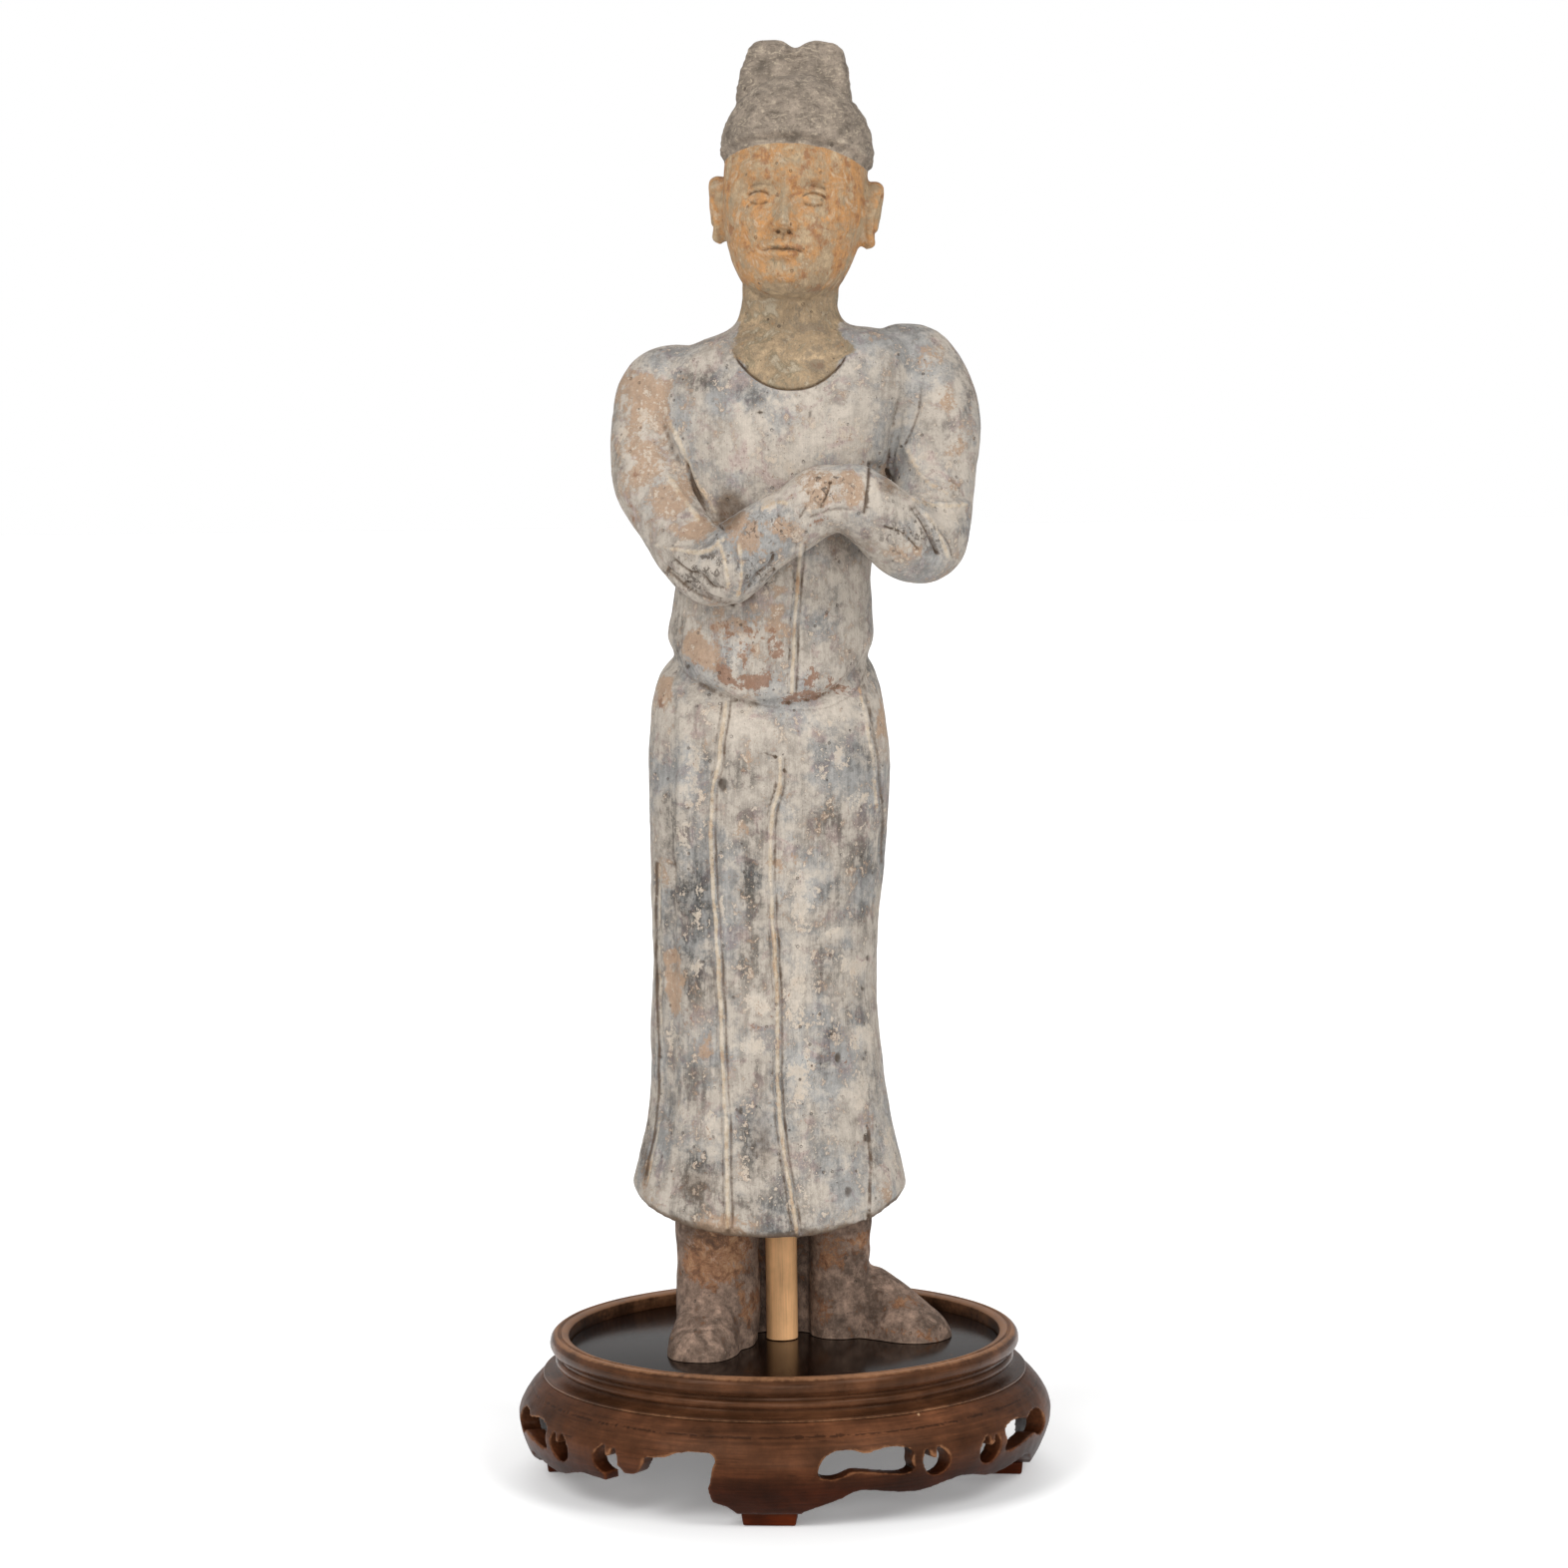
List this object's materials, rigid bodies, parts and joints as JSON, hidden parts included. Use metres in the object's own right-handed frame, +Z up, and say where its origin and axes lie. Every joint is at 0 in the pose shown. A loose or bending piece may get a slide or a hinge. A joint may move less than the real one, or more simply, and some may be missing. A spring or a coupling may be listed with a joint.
{
  "type": "terracotta standing official figure on a wooden stand",
  "caption": "Robed court official in fired clay, arms folded inside the sleeves, held upright by a wooden post on a round openwork hardwood stand.",
  "frame": {"origin": "on the floor, at the middle of the bounding box, which is the stand's axis", "axes": "+Z up; the figure looks along -Y; +X is towards the figure's own left hand"},
  "size_m": [0.2618, 0.2618, 0.699],
  "materials": {
    "painted_terracotta": "unglazed fired clay with worn cream and grey slip",
    "pale_pine": "bare, vertical grain",
    "worn_hardwood": "worn satin varnish",
    "dark_hardwood": "dark satin varnish",
    "orange_hardwood": "orange-brown satin varnish"
  },
  "bodies": {
    "root": {"figure": "painted_terracotta", "support_post": "pale_pine", "stand_rim": "worn_hardwood", "stand_panel": "dark_hardwood", "stand_apron": "dark_hardwood", "foot_pad_front": "orange_hardwood", "foot_pad_right": "orange_hardwood", "foot_pad_back": "orange_hardwood", "foot_pad_left": "orange_hardwood"}
  },
  "joints": []
}
